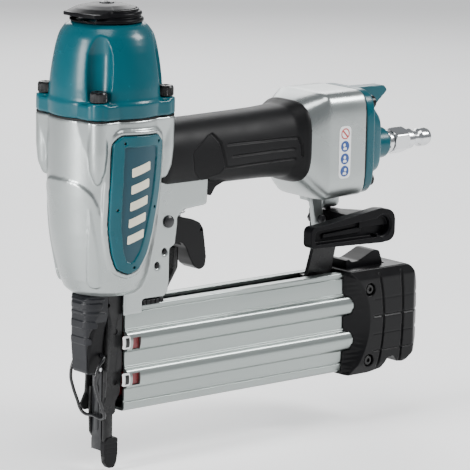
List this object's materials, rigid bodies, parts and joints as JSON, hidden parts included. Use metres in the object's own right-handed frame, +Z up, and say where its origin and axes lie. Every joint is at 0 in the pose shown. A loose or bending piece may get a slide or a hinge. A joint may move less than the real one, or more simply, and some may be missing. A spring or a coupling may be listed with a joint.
{
  "type": "pneumatic brad nailer",
  "caption": "Hand-held air brad nailer: upright barrel with cap, gripped handle with air plug, straight sliding magazine, latching nose door and swivelling belt hook.",
  "frame": {"origin": "on the driver's axis, at the driver guide's flat tip, where the brad comes out", "axes": "+Z up along the driver's axis away from the work, +X towards the air plug, -Y towards the side with the belt hook"},
  "size_m": [0.2513, 0.0639, 0.2386],
  "materials": {
    "cast_body": "satin silver paint on cast aluminium",
    "extrusion": "clear anodised extrusion",
    "teal_paint": "gloss teal paint",
    "black_plastic": "moulded black nylon",
    "grip_rubber": "fine-textured black rubber",
    "black_steel": "black phosphated steel",
    "bright_steel": "bright plated steel",
    "seal": "black nitrile",
    "red_plastic": "red indicator plastic",
    "brass": "turned brass",
    "inner_metal": "machined aluminium"
  },
  "bodies": {
    "frame": {"housing": "cast_body", "cylinder_cap": "teal_paint", "cap_gasket": "seal", "cap_bolt_1": "black_steel", "cap_bolt_2": "black_steel", "cap_bolt_3": "black_steel", "cap_bolt_4": "black_steel", "deflector_screw": "black_steel", "side_plate_left": "teal_paint", "side_plate_right": "teal_paint", "grip_sleeve": "grip_rubber", "rear_cap": "teal_paint", "rear_gasket": "seal", "rear_screw_1": "black_steel", "rear_screw_2": "black_steel", "rear_screw_3": "black_steel", "rear_screw_4": "black_steel", "air_plug": "bright_steel", "cylinder_sleeve": "inner_metal", "bumper": "grip_rubber", "head_valve_spring": "bright_steel", "trigger_valve_body": "brass", "trigger_pin": "black_steel", "trigger_spring": "bright_steel", "guide_pin_upper": "black_steel", "guide_pin_lower": "black_steel", "contact_spring": "bright_steel", "driver_guide": "black_steel", "door_pin": "bright_steel", "magazine_adapter": "black_plastic", "magazine_rail": "black_steel", "magazine_bracket": "black_steel", "bracket_screw": "black_steel", "bracket_bolt": "black_steel", "hook_screw": "black_steel"},
    "deflector": {"exhaust_deflector": "black_plastic"},
    "driver": {"piston": "inner_metal", "piston_ring": "seal", "driver_blade": "bright_steel"},
    "head_valve": {"head_valve": "black_plastic"},
    "plunger": {"valve_plunger": "bright_steel"},
    "trigger": {"trigger": "black_plastic"},
    "idler": {"trigger_idler": "black_steel"},
    "contact": {"contact_arm": "black_steel", "contact_tip": "grip_rubber"},
    "door": {"nose_door": "black_steel", "lever_pin": "bright_steel"},
    "lever": {"jam_lever": "black_plastic"},
    "bail": {"jam_bail": "black_steel"},
    "magazine": {"magazine_cover": "extrusion", "magazine_end_cap": "black_plastic", "end_cap_screw_upper": "black_steel", "end_cap_screw_lower": "black_steel", "latch_pin": "bright_steel", "latch_spring": "bright_steel"},
    "latch": {"magazine_latch": "black_plastic"},
    "pusher": {"pusher": "red_plastic", "pusher_spring": "bright_steel"},
    "hook": {"belt_hook": "black_plastic"}
  },
  "joints": [
    {"name": "deflector_turn", "type": "hinge", "parent": "frame", "child": "deflector", "pos_m": [0, 0, 0.22], "axis": [0, 0, 1], "continuous": true},
    {"name": "contact_press", "type": "slide", "parent": "frame", "child": "contact", "axis": [0, 0, 1], "range_m": [0, 0.01], "stiffness_N_per_m": 700, "springref_m": -0.006, "deforming": ["contact_spring"]},
    {"name": "trigger_pull", "type": "hinge", "parent": "frame", "child": "trigger", "pos_m": [0.032, 0, 0.1154], "axis": [0, -1, 0], "range_deg": [0, 10], "stiffness_Nm_per_rad": 0.3, "springref_deg": -11.46, "deforming": ["trigger_spring"]},
    {"name": "plunger_slide", "type": "slide", "parent": "frame", "child": "plunger", "axis": [0, 0, 1], "range_m": [0, 0.0031]},
    {"name": "idler_tilt", "type": "hinge", "parent": "trigger", "child": "idler", "pos_m": [0.057, 0, 0.1073], "axis": [0, 1, 0], "range_deg": [0, 3.1]},
    {"name": "driver_stroke", "type": "slide", "parent": "frame", "child": "driver", "axis": [0, 0, -1], "range_m": [0, 0.053]},
    {"name": "head_valve_lift", "type": "slide", "parent": "frame", "child": "head_valve", "axis": [0, 0, 1], "range_m": [0, 0.004], "stiffness_N_per_m": 600, "springref_m": -0.005, "deforming": ["head_valve_spring"]},
    {"name": "door_swing", "type": "hinge", "parent": "frame", "child": "door", "pos_m": [-0.0035, 0, 0.076], "axis": [0, 1, 0], "range_deg": [0, 33.5]},
    {"name": "lever_swing", "type": "hinge", "parent": "door", "child": "lever", "pos_m": [-0.0058, 0, 0.043], "axis": [0, -1, 0], "range_deg": [0, 95]},
    {"name": "bail_swing", "type": "hinge", "parent": "lever", "child": "bail", "pos_m": [-0.0062, 0, 0.0503], "axis": [0, 1, 0], "range_deg": [0, 95.5]},
    {"name": "magazine_slide", "type": "slide", "parent": "frame", "child": "magazine", "axis": [1, 0, 0], "range_m": [0, 0.14]},
    {"name": "latch_press", "type": "hinge", "parent": "magazine", "child": "latch", "pos_m": [0.172, 0, 0.069], "axis": [0, 1, 0], "range_deg": [0, 7], "stiffness_Nm_per_rad": 0.12, "springref_deg": -11.46},
    {"name": "pusher_slide", "type": "slide", "parent": "frame", "child": "pusher", "axis": [1, 0, 0], "range_m": [0, 0.125], "stiffness_N_per_m": 15, "springref_m": -0.25},
    {"name": "hook_swivel", "type": "hinge", "parent": "frame", "child": "hook", "pos_m": [0.1515, 0, 0.105], "axis": [0, 0, 1], "range_deg": [0, 180]}
  ],
  "couplings": [
    {"joint": "plunger_slide", "follows": "trigger_pull", "m_per_rad": 0.01719},
    {"joint": "idler_tilt", "follows": "contact_press", "rad_per_m": 5.236},
    {"joint": "door_swing", "follows": "lever_swing", "ratio": 0.35},
    {"joint": "bail_swing", "follows": "lever_swing", "ratio": 1}
  ]
}
